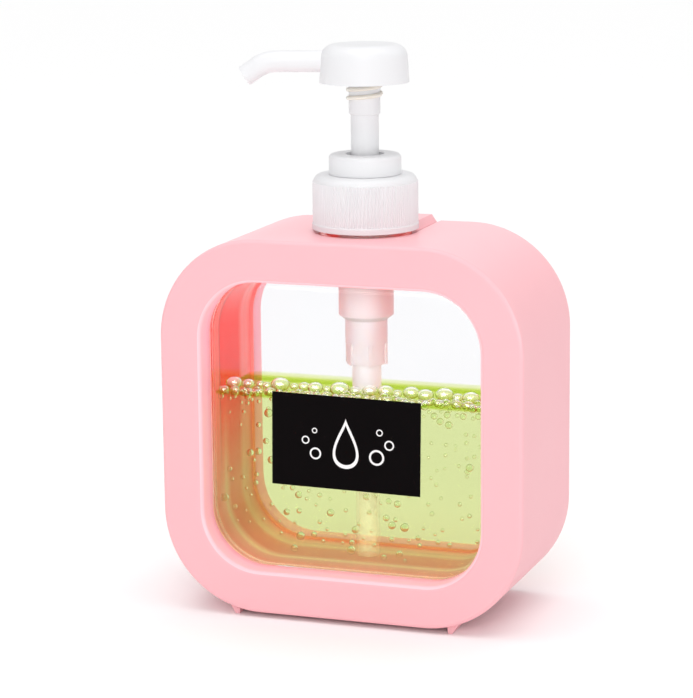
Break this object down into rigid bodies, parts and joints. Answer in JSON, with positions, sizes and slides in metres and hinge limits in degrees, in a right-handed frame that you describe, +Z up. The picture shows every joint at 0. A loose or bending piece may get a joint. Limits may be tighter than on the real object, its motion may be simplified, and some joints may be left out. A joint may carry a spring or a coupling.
{
  "type": "dish soap dispenser",
  "caption": "Countertop soap dispenser: clear rounded-square bottle held in a thick pink casing with open windows, topped by a white lock-down lotion pump with a bent spout.",
  "frame": {"origin": "middle of the footprint, on the surface that the feet stand on", "axes": "+Z up along the pump axis, front window facing -Y, +X to the right seen from the front"},
  "size_m": [0.118, 0.055, 0.1787],
  "materials": {
    "pink_abs": "satin moulded",
    "clear_petg": "clear gloss",
    "green_soap": "clear liquid",
    "label_film": "semi-gloss film",
    "white_pp": "satin moulded",
    "gasket_foam": "closed-cell foam",
    "natural_pp": "translucent moulded",
    "glass_ball": "polished",
    "spring_steel": "drawn wire",
    "seal_pe": "soft moulded"
  },
  "bodies": {
    "casing": {"front_casing": "pink_abs", "rear_cover": "pink_abs", "bottle": "clear_petg", "soap": "green_soap", "front_label": "label_film"},
    "pump": {"locking_ring": "white_pp", "pump_housing": "natural_pp", "neck_gasket": "gasket_foam", "dip_tube": "natural_pp", "inlet_ball": "glass_ball", "return_spring": "spring_steel"},
    "collar": {"screw_collar": "white_pp"},
    "plunger": {"piston": "seal_pe", "piston_seat": "natural_pp"},
    "head": {"stem": "white_pp", "outlet_ball": "glass_ball", "lock_sleeve": "natural_pp", "pump_head": "white_pp"}
  },
  "joints": [
    {"name": "pump_lift", "type": "slide", "parent": "casing", "child": "pump", "axis": [0, 0, 1], "range_m": [0, 0.0063]},
    {"name": "collar_turn", "type": "hinge", "parent": "pump", "child": "collar", "pos_m": [0, 0, 0.13], "axis": [0, 0, 1], "range_deg": [0, 541]},
    {"name": "pump_stroke", "type": "slide", "parent": "pump", "child": "plunger", "axis": [0, 0, -1], "range_m": [0, 0.0173], "stiffness_N_per_m": 450, "springref_m": -0.02, "deforming": ["return_spring"]},
    {"name": "head_swivel", "type": "hinge", "parent": "plunger", "child": "head", "pos_m": [0, 0, 0.17], "axis": [0, 0, 1], "continuous": true}
  ],
  "couplings": [
    {"joint": "collar_turn", "follows": "pump_lift", "rad_per_m": 1496}
  ]
}
